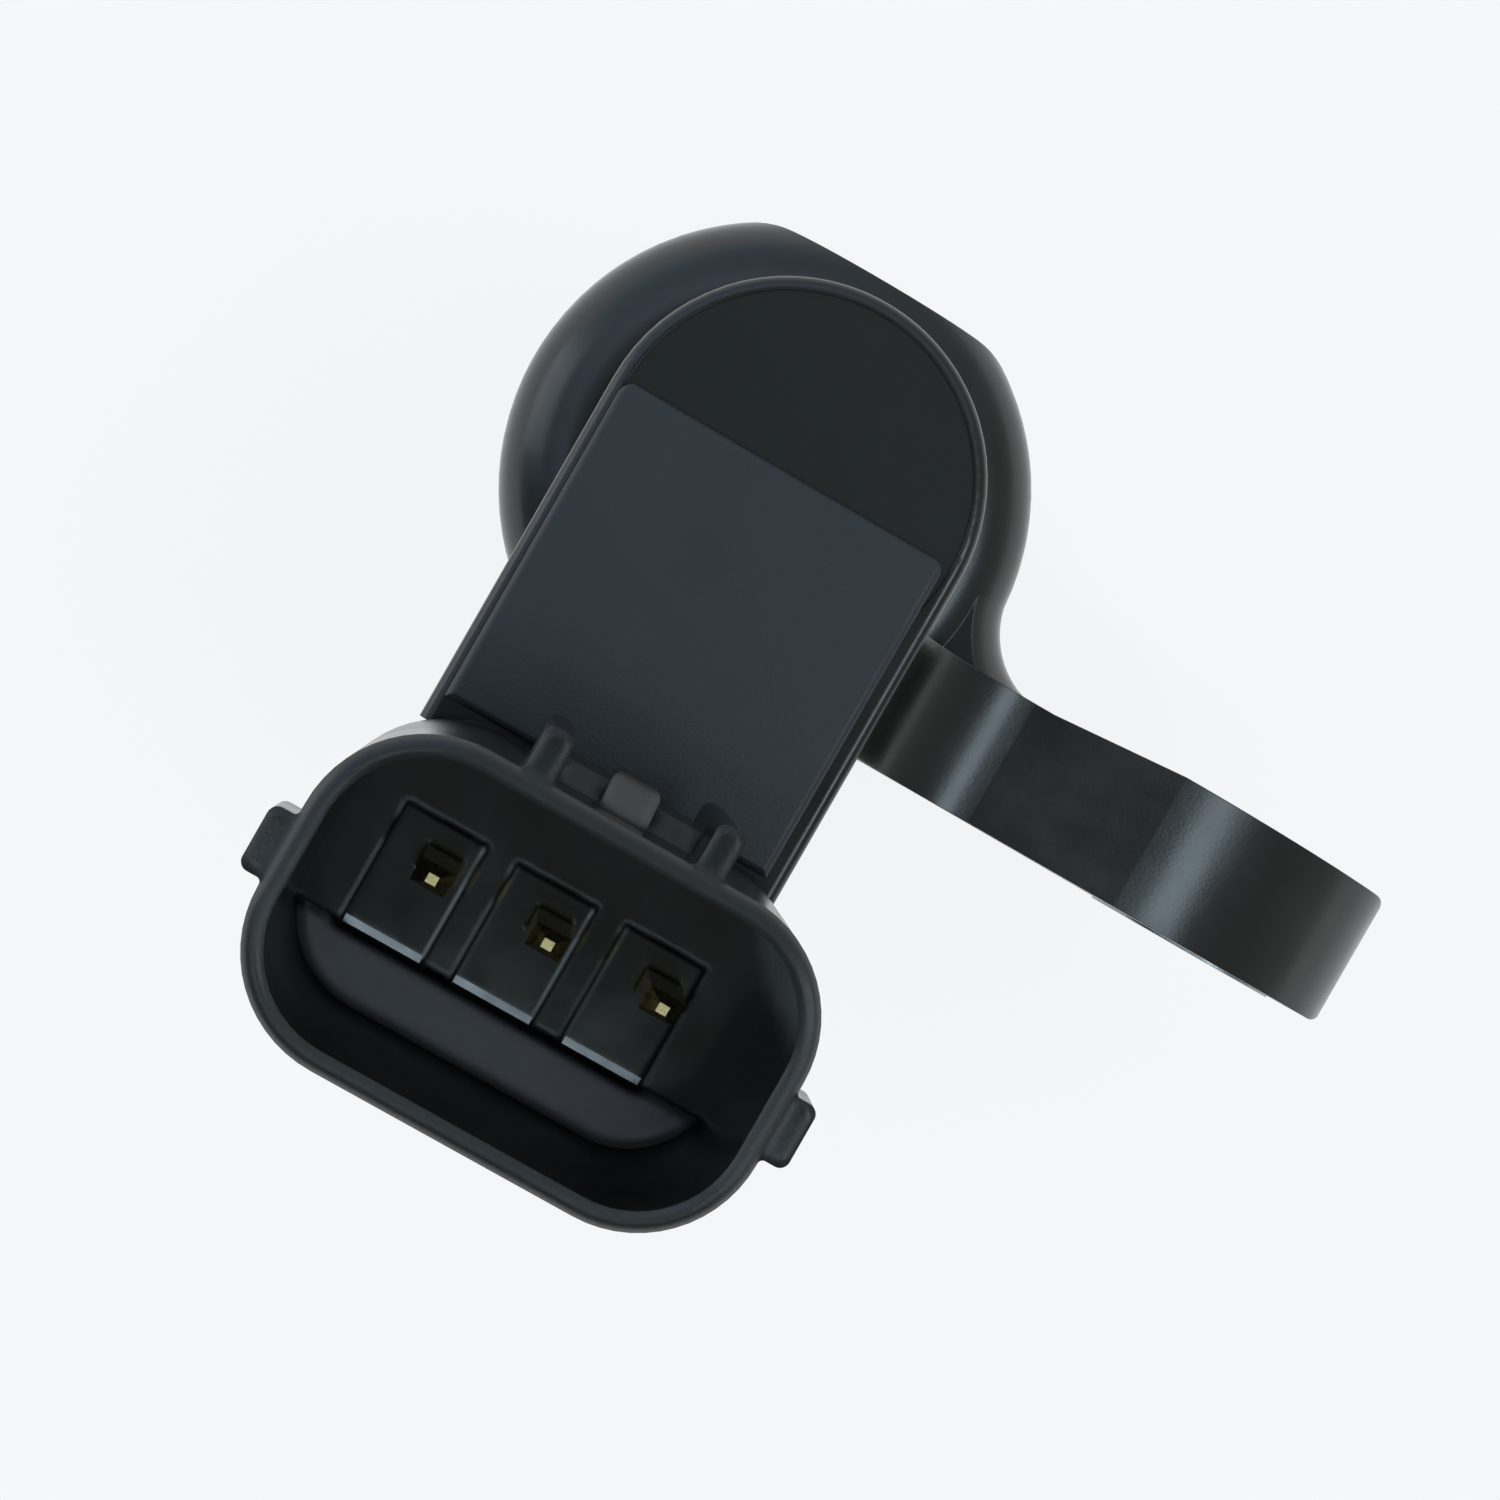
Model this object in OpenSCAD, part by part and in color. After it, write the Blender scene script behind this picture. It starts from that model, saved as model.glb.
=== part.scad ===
// Crankshaft position sensor
// Units are millimetres, +Z is up, and the origin is the centre of the sensing face.
// The connector opens along +Z, the neck runs along -Y and the ear reaches out along +X.

/* [Barrel] */
// Barrel radius
barrel_r = 9.5; // [8:0.1:11]
// Barrel length from sensing face to seat
barrel_len = 24; // [20:0.5:32]
// Bore radius inside the barrel
bore_r = 6.2; // [5.8:0.1:6.6]
// Thickness of the sensing wall
nose_wall = 1.2; // [0.8:0.1:2]
// Chamfer at the nose
nose_chamfer = 0.8; // [0.4:0.1:1.5]
// Seal section diameter
ring_d = 2.0; // [1.6:0.1:2.4]
// Gap between the seat and the seal groove
ring_gap = 2.4; // [1.6:0.1:4]
// Amount the seal stands out of its groove
ring_proud = 0.3; // [0.1:0.05:0.5]

/* [Head] */
// Flange radius
flange_r = 12.3; // [11.5:0.1:14]
// Height of the upright part of the flange
flange_h = 3.0; // [2:0.1:5]
// Radius of the rounded shoulder
shoulder_r = 3.5; // [2:0.1:3.6]
// Distance from the axis to the flat on the flange
flat_y = 10.65; // [10.4:0.05:11.2]
// Corner radius at the ends of the flat
flat_corner_r = 4; // [1:0.1:5]
// Outer radius of the round end of the neck
head_r = 8.35; // [8.2:0.05:8.8]
// Height of the head above the seat
head_h = 16.7; // [15:0.1:20]
// Rounding of the top edge
top_round = 0.5; // [0.3:0.05:0.7]
// Wall left around the sealed well
well_wall = 0.6; // [0.5:0.05:0.9]
// Depth of the sealing fill below the rim
fill_drop = 0.15; // [0.1:0.05:0.4]
// Thickness of the sealing fill
fill_t = 1.9; // [1.2:0.1:2.2]

/* [Neck] */
// Height of the neck underside above the seat
neck_lift = 5.5; // [4:0.1:6]
// Height of the channel floor above the seat
floor_lift = 10.5; // [10:0.1:11]
// Wall around the hollows under the neck
neck_wall = 1.7; // [1.2:0.1:2]
// Thickness of the rib between the hollows
rib_t = 1.6; // [1.2:0.1:2.4]
// Width of the channel for the strips
channel_w = 13.2; // [12.8:0.1:13.6]
// Cover plate width
plate_w = 15.3; // [14:0.1:15.5]
// Cover plate sideways offset
plate_x = -0.2; // [-0.3:0.05:0.3]
// Cover plate edge nearest the head
plate_y = 0.15; // [-1:0.05:1]
// Height of the cover plate above the neck
plate_t = 0.6; // [0.4:0.1:1]
// Gap between cover plate and connector
plate_gap = 0.15; // [0.1:0.05:0.6]
// Corner radius of the cover plate
plate_corner_r = 0.7; // [0.4:0.1:1.5]
// Rounding of the top edges of the cover plate
plate_round = 0.35; // [0.2:0.05:0.4]
// Width of the tongue under the cover plate
tongue_w = 12.6; // [11:0.1:12.7]
// Depth of the tongue under the cover plate
tongue_t = 1.1; // [0.8:0.1:1.3]

/* [Ear] */
// Ear face nearest the flat
ear_face_y = -1.85; // [-3:0.1:-1]
// Ear thickness
ear_t = 6.8; // [5:0.1:8]
// Height of the top of the ear above the seat
ear_lift = 6.0; // [4.5:0.1:6.4]
// Where the top of the ear starts to curve
ear_bend_x = 23.1; // [20:0.1:25]
// Radius of the curved top
ear_bend_r = 16; // [14:0.5:18]
// Radius of the boss around the bolt hole
boss_r = 7.5; // [6.5:0.1:8.5]
// Fillet between ear and neck
root_fillet = 7; // [4:0.1:8]
// Fillet between ear and flange
web_fillet = 4.2; // [2:0.1:4.6]
// Amount the ear thins towards the flange
web_taper = 0.55; // [0.2:0.05:0.8]
// Corner radius at the end of the ear
ear_round = 1.6; // [0.6:0.1:2]
// Bolt hole radius in the bush
bolt_r = 3.3; // [3.1:0.05:3.6]
// Wall of the bush
bush_wall = 1.6; // [1:0.1:2]
// Bush length beyond each face of the ear
bush_proud = 0.1; // [0.05:0.05:0.3]

/* [Connector] */
// Sideways offset of the connector
conn_x = 0.4; // [0:0.05:0.5]
// Distance from the barrel axis to the connector axis
conn_y = 21.6; // [21:0.1:24]
// Height of the rim above the seat
rim_h = 32.7; // [31.5:0.1:36]
// Shroud width at the rim
shroud_w = 20.6; // [19.5:0.1:22]
// Shroud depth at the rim
shroud_d = 13.2; // [12.6:0.1:13.4]
// Shroud corner radius
shroud_r = 4.9; // [4.5:0.1:4.9]
// Shroud wall
shroud_wall = 0.85; // [0.7:0.05:1.2]
// Chamfer of the outer edge of the rim
rim_chamfer = 0.3; // [0.2:0.05:0.5]
// Depth of the connector floor below the rim
mouth_depth = 12.7; // [12:0.1:13]
// Slope of the connector floor beside the pads, in degrees
floor_slope = 15; // [5:1:25]
// Height where the shroud stands on the neck, above the seat
elbow_h = 18.4; // [17.6:0.1:18.8]
// Side key width
key_w = 2.6; // [2:0.1:2.7]
// Side key height out of the shroud
key_out = 1.0; // [0.8:0.05:1.5]
// Side key offset away from the neck
key_shift = 0.15; // [0:0.05:0.2]
// Side key length below the rim
key_h = 3.2; // [2:0.1:6]
// Rounding at the ends of keys, rails and ramp
tab_round = 0.4; // [0.2:0.05:0.45]
// Fillet at the foot of keys, rails and ramp
tab_fillet = 0.2; // [0.15:0.05:0.3]
// Distance between the latch rails
rail_span = 7.1; // [6:0.1:8]
// Latch rail width
rail_w = 1.15; // [0.9:0.05:1.5]
// Latch rail height out of the shroud
rail_out = 1.9; // [1.4:0.1:2.2]
// Latch ramp width
ramp_w = 2.0; // [1.5:0.1:3]

/* [Terminals] */
// Distance between terminals
pin_pitch = 5.0; // [4.7:0.1:5.2]
// Terminal width
pin_w = 1.5; // [1.2:0.05:1.6]
// Terminal thickness
pin_t = 1.0; // [0.8:0.05:1]
// Depth of the tips below the rim
pin_drop = 5.3; // [5:0.1:6]
// Terminal row offset towards the neck
pin_shift = 1.0; // [0.5:0.05:1.3]
// Pad width on the connector floor
pad_w = 4.1; // [3.6:0.1:4.3]
// Pad height on the connector floor
pad_h = 1.2; // [0.6:0.1:1.6]
// Rounding of the pad edges
pad_round = 0.4; // [0.2:0.05:0.5]
// Length of the pads along the neck
pad_d = 5.75; // [5.2:0.05:6]
// Pad row offset away from the neck
pad_shift = 0.1; // [0:0.05:0.4]
// Pad row offset sideways
pad_x = -0.5; // [-0.6:0.05:0.6]
// Thickness of the strip that runs to the board
strip_t = 0.8; // [0.6:0.1:1]
// Distance between strips at the board
strip_pitch = 3.6; // [3:0.1:4]

/* [Inside] */
// Clearance between fitted pieces
fit_gap = 0.1; // [0.05:0.01:0.15]
// Board thickness
board_t = 1.0; // [0.8:0.1:1.2]
// Board width
board_w = 12.4; // [11.4:0.1:12.6]
// Board length from the axis towards the connector
board_back = 6.9; // [6:0.1:7]
// Board length from the axis away from the connector
board_front = 5.6; // [5.4:0.1:6]
// Gap between carrier and board
carrier_gap = 1.0; // [0.6:0.1:1.4]
// Magnet radius
magnet_r = 3.0; // [2.6:0.1:3.2]
// Magnet length
magnet_len = 6.0; // [4:0.5:8]
// Pole plate thickness
pole_t = 1.0; // [0.8:0.1:1.4]
// Width of a soldered strip end
solder_w = 1.8; // [1.6:0.1:2.2]
// Sensing chip width
chip_w = 4.2; // [3.6:0.1:4.3]
// Sensing chip depth
chip_d = 3.8; // [3.2:0.1:4]
// Sensing chip thickness
chip_t = 1.5; // [1.2:0.1:1.7]
// Distance between chip legs
leg_pitch = 1.27; // [1:0.01:1.4]
// Thickness of a chip leg
leg_t = 0.4; // [0.3:0.05:0.5]

/* [Hidden] */
$fn = 64;
e = 0.01;
seat_z = barrel_len;
top_z = seat_z + head_h;
rim_z = seat_z + rim_h;
floor_z = rim_z - mouth_depth;
deck_z = seat_z + floor_lift;
neck_z = seat_z + neck_lift;
elbow_z = seat_z + elbow_h;
ear_z = seat_z + ear_lift;
well_r = head_r - well_wall;
groove_r = barrel_r + ring_proud - ring_d;
groove_w = ring_d + 0.5;
groove_z = seat_z - ring_gap - groove_w;
shroud_front_y = -conn_y + shroud_d / 2;
elbow_front_y = shroud_front_y - 0.1;
elbow_back_y = -conn_y - shroud_d / 2 + 0.5;
plate_end_y = shroud_front_y + plate_gap;
bend_z = ear_z - ear_bend_r;
// Overlap where one round face runs into the next
bite = 0.04;
boss_x = ear_bend_x + (ear_bend_r - boss_r + bite) * sin(45);
boss_z = bend_z + (ear_bend_r - boss_r + bite) * cos(45);
bush_r = bolt_r + bush_wall;
web_y = ear_face_y - web_taper;
web_x = sqrt(pow(flange_r + web_fillet - bite, 2) - pow(web_y + web_fillet - bite, 2));
pin_y = -conn_y + pin_shift;
pad_y = -conn_y - pad_shift;
holder_w = 2 * pin_pitch + pad_w;
holder_x = conn_x + pad_x;
tip_z = rim_z - pin_drop;
strip_z = deck_z + board_t;
strip_end_y = -3.0;
board_r = well_r - 0.2;
leg_y = 4.5;
bay_z = nose_wall;
carrier_r = bore_r - fit_gap;
carrier_top = deck_z - carrier_gap;
magnet_bore = magnet_r + fit_gap;
chip_z = bay_z + fit_gap;
plate_z = chip_z + chip_t + fit_gap;
magnet_z = plate_z + pole_t + fit_gap;

// A box between two corners
module box(a, b) {
  translate(a) cube([b[0] - a[0], b[1] - a[1], b[2] - a[2]]);
}

// An upright block with round corners, centred on x and y
module round_block(x, y, w, d, r, z0, z1) {
  box([x - w / 2 + r, y - d / 2, z0], [x + w / 2 - r, y + d / 2, z1]);
  box([x - w / 2, y - d / 2 + r, z0], [x + w / 2, y + d / 2 - r, z1]);
  for (i = [-1, 1], j = [-1, 1])
    translate([x + i * (w / 2 - r), y + j * (d / 2 - r), z0]) cylinder(r = r, h = z1 - z0);
}

// An upright block with round corners and a chamfer c around its top
module chamfer_block(x, y, w, d, r, c, z0, z1) {
  round_block(x, y, w, d, r, z0, z1 - c);
  for (i = [-1, 1], j = [-1, 1])
    translate([x + i * (w / 2 - r), y + j * (d / 2 - r), z1 - c])
      rotate_extrude() polygon([[0, 0], [r, 0], [r - c, c], [0, c]]);
  translate([x - w / 2 + r, y, z1 - c]) rotate([90, 0, 90]) linear_extrude(w - 2 * r)
    polygon([[-d / 2, 0], [d / 2, 0], [d / 2 - c, c], [-d / 2 + c, c]]);
  translate([x, y + d / 2 - r, z1 - c]) rotate([90, 0, 0]) linear_extrude(d - 2 * r)
    polygon([[-w / 2, 0], [w / 2, 0], [w / 2 - c, c], [-w / 2 + c, c]]);
}

// A flat shape with its two top corners rounded, centred on x
module round_top(w, h, r) {
  translate([-w / 2, 0]) square([w, h - r]);
  translate([-w / 2 + r, 0]) square([w - 2 * r, h]);
  for (i = [-1, 1]) translate([i * (w / 2 - r), h - r]) circle(r = r, $fn = 32);
}

// Outline of a tab that grows out along x, with a round end and a fillet at its foot
module tab_outline(w, out) {
  r = tab_round;
  f = tab_fillet;
  translate([-0.7, -w / 2]) square([0.7 + out - r, w]);
  translate([-0.7, -w / 2 + r]) square([0.7 + out, w - 2 * r]);
  for (j = [-1, 1]) translate([out - r, j * (w / 2 - r)]) circle(r = r, $fn = 32);
  difference() {
    translate([-0.7, -w / 2 - f]) square([0.7 + f, w + 2 * f]);
    for (j = [-1, 1]) translate([f, j * (w / 2 + f)]) circle(r = f, $fn = 32);
  }
}

// Flange with a rounded shoulder and a flat, seal groove and barrel, turned about Z
module turned_body() {
  cx = sqrt(pow(flange_r - flat_corner_r, 2) - pow(flat_y - flat_corner_r, 2));
  tx = cx * flange_r / (flange_r - flat_corner_r);
  difference() {
    translate([0, 0, seat_z]) rotate_extrude() difference() {
      square([flange_r, flange_h + shoulder_r]);
      difference() {
        translate([flange_r - shoulder_r, flange_h]) square([shoulder_r + 1, shoulder_r + 1]);
        translate([flange_r - shoulder_r, flange_h]) circle(r = shoulder_r);
      }
    }
    box([-flange_r, flat_y, seat_z - 1], [flange_r, flange_r + 1, top_z]);
    for (i = [-1, 1]) difference() {
      box([min(i * cx, i * (tx + 1)), flat_y - flat_corner_r, seat_z - 1],
        [max(i * cx, i * (tx + 1)), flat_y + 1, top_z]);
      translate([i * cx, flat_y - flat_corner_r, seat_z - 2])
        cylinder(r = flat_corner_r, h = head_h + 4);
      translate([0, 0, seat_z - 2]) linear_extrude(head_h + 4)
        polygon([[0, 0], [i * 1.5 * cx, 1.5 * (flat_y - flat_corner_r)], [i * 8 * cx, 0]]);
    }
  }
  rotate_extrude() difference() {
    square([barrel_r, seat_z + 1]);
    translate([groove_r, groove_z]) square([barrel_r, groove_w]);
    polygon([[barrel_r - nose_chamfer, 0], [barrel_r + 1, -1], [barrel_r + 1, nose_chamfer + 1],
      [barrel_r, nose_chamfer]]);
  }
}

// Round end of the neck with a rounded top edge
module head_post() {
  translate([0, 0, seat_z]) rotate_extrude() {
    square([head_r - top_round, head_h]);
    square([head_r, head_h - top_round]);
    translate([head_r - top_round, head_h - top_round]) circle(r = top_round);
  }
}

// Straight part of the neck, from the barrel axis to the connector
module neck_bar() {
  rotate([90, 0, 0]) linear_extrude(-elbow_front_y + 1) {
    translate([-head_r, neck_z]) square([2 * head_r, top_z - top_round - neck_z]);
    translate([-head_r + top_round, neck_z]) square([2 * (head_r - top_round), top_z - neck_z]);
    for (i = [-1, 1])
      translate([i * (head_r - top_round), top_z - top_round]) circle(r = top_round);
  }
  round_block(0, (elbow_front_y + elbow_back_y) / 2, 2 * head_r, elbow_front_y - elbow_back_y, 3,
    neck_z, elbow_z + 1);
}

// Side view of the ear: straight top, curved end, boss and the fillet up to the neck
module ear_outline() {
  under = (boss_r - bite) * sin(45);
  difference() {
    union() {
      polygon([[5, ear_z], [ear_bend_x, ear_z], [boss_x, boss_z], [boss_x - under, boss_z - under],
        [boss_x - under - (seat_z + 0.5 - boss_z + under), seat_z + 0.5], [5, seat_z + 0.5]]);
      intersection() {
        translate([ear_bend_x, bend_z]) circle(r = ear_bend_r, $fn = 128);
        polygon([[ear_bend_x, boss_z], [ear_bend_x, ear_z + 1],
          [ear_bend_x + 20, bend_z + 20 + ear_bend_r], [ear_bend_x + 20, bend_z + 20],
          [boss_x, boss_z]]);
      }
      translate([boss_x, boss_z]) circle(r = boss_r);
      difference() {
        translate([head_r - 2, ear_z - 1]) square([root_fillet + 2, root_fillet + 1]);
        translate([head_r + root_fillet, ear_z + root_fillet]) circle(r = root_fillet);
      }
    }
    translate([boss_x, boss_z]) circle(r = bush_r);
  }
}

// Top view of the ear: thinner towards the flange, with rounded corners at the end
module ear_plan() {
  end_x = boss_x + boss_r + 0.2;
  back_y = ear_face_y - ear_t;
  polygon([[0, back_y], [end_x - ear_round, back_y], [end_x - ear_round, ear_face_y],
    [ear_bend_x, ear_face_y], [web_x, web_y], [0, web_y]]);
  translate([end_x - ear_round - 1, back_y + ear_round])
    square([ear_round + 1, ear_t - 2 * ear_round]);
  for (y = [back_y + ear_round, ear_face_y - ear_round])
    translate([end_x - ear_round, y]) circle(r = ear_round, $fn = 32);
}

// Fillet between ear and flange, with the same rounded shoulder as the flange
module ear_web() {
  k = (flange_r - 0.2) / (flange_r + web_fillet - bite);
  difference() {
    translate([0, 0, seat_z + 0.5]) linear_extrude(ear_lift - 0.5)
      polygon([[8, web_y - 1], [web_x, web_y - 1], [web_x, web_y],
        [k * web_x, k * (web_y + web_fillet - bite)], [8, 1]]);
    translate([web_x, web_y + web_fillet - bite, seat_z]) rotate_extrude() {
      square([web_fillet, flange_h]);
      difference() {
        translate([0, flange_h]) square([web_fillet + shoulder_r, shoulder_r]);
        translate([web_fillet + shoulder_r, flange_h]) circle(r = shoulder_r);
      }
    }
  }
}

// Mounting ear
module ear() {
  intersection() {
    translate([0, ear_face_y + 1, 0]) rotate([90, 0, 0]) linear_extrude(ear_t + 2) ear_outline();
    translate([0, 0, seat_z - 20]) linear_extrude(20 + ear_lift + root_fillet + 1) ear_plan();
  }
  ear_web();
}

// Connector shroud with side keys, latch rails and ramp
module shroud() {
  chamfer_block(conn_x, -conn_y, shroud_w, shroud_d, shroud_r, rim_chamfer, elbow_z, rim_z);
  for (i = [-1, 1])
    translate([conn_x + i * shroud_w / 2, -conn_y - key_shift, rim_z - key_h]) mirror([i < 0 ? 1 : 0, 0, 0])
      linear_extrude(key_h - rim_chamfer) tab_outline(key_w, key_out);
  for (i = [-1, 1])
    translate([conn_x + i * rail_span / 2, shroud_front_y, elbow_z + 2]) rotate([0, 0, 90])
      linear_extrude(rim_h - elbow_h - 2 - rim_chamfer) tab_outline(rail_w, rail_out);
  box([conn_x - rail_span / 2, shroud_front_y - 0.5, elbow_z + 2],
    [conn_x + rail_span / 2, shroud_front_y + 0.9, rim_z - 5.6]);
  intersection() {
    translate([conn_x - ramp_w, 0, 0]) rotate([90, 0, 90]) linear_extrude(2 * ramp_w)
      polygon([[shroud_front_y - 0.5, rim_z - 8.6], [shroud_front_y + 2, rim_z - 8.6],
        [shroud_front_y + 2, rim_z - 6.4], [shroud_front_y, rim_z - 4.0],
        [shroud_front_y - 0.5, rim_z - 4.0]]);
    translate([conn_x, shroud_front_y, elbow_z]) rotate([0, 0, 90])
      linear_extrude(rim_h - elbow_h) tab_outline(ramp_w, 1.5);
  }
}

// Space inside the connector, with a floor that rises on both sides of the pads
module mouth() {
  w = shroud_w - 2 * shroud_wall;
  d = shroud_d - 2 * shroud_wall;
  reach = d / 2 + 1;
  rise = (reach - pad_d / 2) * tan(floor_slope);
  intersection() {
    round_block(conn_x, -conn_y, w, d, shroud_r - shroud_wall, floor_z, rim_z + 1);
    translate([conn_x - w / 2 - 1, -conn_y, floor_z]) rotate([90, 0, 90]) linear_extrude(w + 2)
      polygon([[-reach, rise], [-pad_d / 2 - pad_shift, 0], [pad_d / 2 - pad_shift, 0], [reach, rise],
        [reach, mouth_depth + 2], [-reach, mouth_depth + 2]]);
  }
}

module housing() {
  color([0.05, 0.05, 0.055]) difference() {
    union() {
      turned_body();
      head_post();
      neck_bar();
      ear();
      shroud();
    }
    // Mouth of the connector
    mouth();
    // Pocket for the terminal holder
    box([holder_x - holder_w / 2 - fit_gap, pad_y - pad_d / 2 - fit_gap, deck_z],
      [holder_x + holder_w / 2 + fit_gap, pad_y + pad_d / 2 + fit_gap, floor_z + 1]);
    // Channel for the strips, closed under the connector and open under the plate
    box([conn_x - channel_w / 2, pad_y, deck_z], [conn_x + channel_w / 2, -well_r, top_z - 2 * tongue_t]);
    box([-tongue_w / 2 - fit_gap, plate_end_y + 0.8, deck_z], [tongue_w / 2 + fit_gap, 0, top_z + 1]);
    // Well in the head and bore of the barrel
    translate([0, 0, deck_z]) cylinder(r = well_r, h = head_h);
    translate([0, 0, bay_z]) cylinder(r = bore_r, h = deck_z);
    // Hollows under the neck on both sides of a rib
    for (i = [-1, 1])
      box([min(i * rib_t / 2, i * (head_r - neck_wall)), elbow_back_y + neck_wall, neck_z - 1],
        [max(i * rib_t / 2, i * (head_r - neck_wall)), -flange_r - neck_wall, deck_z - neck_wall]);
  }
}

module cover_plate() {
  plate_len = plate_y - plate_end_y;
  color([0.09, 0.1, 0.11]) {
    intersection() {
      translate([plate_x, plate_end_y, top_z]) linear_extrude(plate_t)
        round_top(plate_w, plate_len, plate_corner_r);
      translate([plate_x, plate_y, top_z]) rotate([90, 0, 0]) linear_extrude(plate_len)
        round_top(plate_w, plate_t, plate_round);
      translate([plate_x - plate_w / 2, (plate_y + plate_end_y) / 2, top_z]) rotate([90, 0, 90])
        linear_extrude(plate_w) round_top(plate_len, plate_t, plate_round);
    }
    box([-tongue_w / 2, plate_end_y + 0.9, top_z - tongue_t], [tongue_w / 2, -well_r - 0.3, top_z + e]);
  }
}

module head_potting() {
  color([0.07, 0.075, 0.07]) translate([0, 0, top_z - fill_drop - fill_t])
    cylinder(r = well_r, h = fill_t);
}

module terminal_holder() {
  color([0.06, 0.06, 0.06]) difference() {
    intersection() {
      translate([holder_x - holder_w / 2, pad_y, deck_z]) rotate([90, 0, 90]) linear_extrude(holder_w)
        round_top(pad_d, floor_z + pad_h - deck_z, pad_round);
      translate([holder_x, pad_y + pad_d / 2, deck_z]) rotate([90, 0, 0]) linear_extrude(pad_d) {
        translate([-holder_w / 2, 0]) square([holder_w, floor_z - deck_z]);
        for (i = [-1, 0, 1]) translate([i * pin_pitch, 0])
          round_top(pad_w, floor_z + pad_h - deck_z, pad_round);
      }
    }
    for (i = [-1, 0, 1]) {
      box([conn_x + i * pin_pitch - pin_w / 2, pin_y - pin_t / 2, deck_z - 1],
        [conn_x + i * pin_pitch + pin_w / 2, pin_y + pin_t / 2, floor_z + 5]);
      box([conn_x + i * pin_pitch - pin_w / 2, pin_y, deck_z - 1],
        [conn_x + i * pin_pitch + pin_w / 2, pad_y + pad_d, strip_z + strip_t]);
    }
  }
}

// Blade with a four-sided tip, and the strip that runs to the board
module terminal(i) {
  x0 = conn_x + i * pin_pitch;
  x1 = conn_x + i * strip_pitch;
  y0 = pad_y + pad_d / 2;
  translate([x0, pin_y, 0]) {
    box([-pin_w / 2, -pin_t / 2, strip_z], [pin_w / 2, pin_t / 2, tip_z - 0.9]);
    intersection() {
      translate([-pin_w / 2, 0, 0]) rotate([90, 0, 90]) linear_extrude(pin_w)
        polygon([[-pin_t / 2, tip_z - 1], [pin_t / 2, tip_z - 1], [pin_t / 2, tip_z - 0.9],
          [0.2, tip_z], [-0.2, tip_z], [-pin_t / 2, tip_z - 0.9]]);
      translate([0, pin_t / 2, 0]) rotate([90, 0, 0]) linear_extrude(pin_t)
        polygon([[-pin_w / 2, tip_z - 1], [pin_w / 2, tip_z - 1], [pin_w / 2, tip_z - 0.9],
          [0.22, tip_z], [-0.22, tip_z], [-pin_w / 2, tip_z - 0.9]]);
    }
  }
  translate([0, 0, strip_z]) linear_extrude(strip_t)
    polygon([[x0 - pin_w / 2, pin_y], [x0 + pin_w / 2, pin_y], [x0 + pin_w / 2, y0 + 1],
      [x1 + pin_w / 2, y0 + 7], [x1 + pin_w / 2, strip_end_y], [x1 - pin_w / 2, strip_end_y],
      [x1 - pin_w / 2, y0 + 7], [x0 - pin_w / 2, y0 + 1]]);
}

module terminal_1() {
  color([0.78, 0.66, 0.38]) terminal(-1);
}

module terminal_2() {
  color([0.78, 0.66, 0.38]) terminal(0);
}

module terminal_3() {
  color([0.78, 0.66, 0.38]) terminal(1);
}

module ear_bush() {
  color([0.62, 0.63, 0.64]) translate([boss_x, ear_face_y + bush_proud, boss_z]) rotate([90, 0, 0])
    difference() {
      cylinder(r = bush_r, h = ear_t + 2 * bush_proud);
      translate([0, 0, -1]) cylinder(r = bolt_r, h = ear_t + 3);
    }
}

module o_ring() {
  color([0.1, 0.1, 0.1]) translate([0, 0, groove_z + groove_w / 2]) rotate_extrude($fn = 72)
    translate([groove_r + ring_d / 2, 0]) circle(r = ring_d / 2, $fn = 12);
}

module carrier() {
  color([0.2, 0.22, 0.24]) difference() {
    translate([0, 0, bay_z]) cylinder(r = carrier_r, h = carrier_top - bay_z);
    translate([0, 0, bay_z - 1]) cylinder(r = magnet_bore, h = magnet_z + magnet_len + fit_gap - bay_z + 1);
    box([-leg_pitch - 0.6, 0, bay_z - 1], [leg_pitch + 0.6, leg_y + 0.5, chip_z + chip_t + fit_gap]);
    box([-leg_pitch - 0.6, leg_y - 0.5, bay_z - 1], [leg_pitch + 0.6, leg_y + 0.5, deck_z]);
  }
}

module hall_chip() {
  color([0.12, 0.12, 0.13])
    box([-chip_w / 2, -chip_d / 2, chip_z], [chip_w / 2, chip_d / 2, chip_z + chip_t]);
}

// Leg from the chip out to the side and up through the board
module leg(i) {
  x = i * leg_pitch;
  z = chip_z + chip_t / 2;
  box([x - leg_t / 2, chip_d / 2, z - leg_t / 2], [x + leg_t / 2, leg_y + leg_t / 2, z + leg_t / 2]);
  box([x - leg_t / 2, leg_y - leg_t / 2, z - leg_t / 2],
    [x + leg_t / 2, leg_y + leg_t / 2, strip_z + 0.9]);
}

module chip_lead_1() {
  color([0.75, 0.75, 0.74]) leg(-1);
}

module chip_lead_2() {
  color([0.75, 0.75, 0.74]) leg(0);
}

module chip_lead_3() {
  color([0.75, 0.75, 0.74]) leg(1);
}

module pole_plate() {
  color([0.55, 0.56, 0.57]) translate([0, 0, plate_z]) cylinder(r = magnet_r, h = pole_t);
}

module bias_magnet() {
  color([0.45, 0.45, 0.47]) translate([0, 0, magnet_z]) cylinder(r = magnet_r, h = magnet_len);
}

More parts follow.
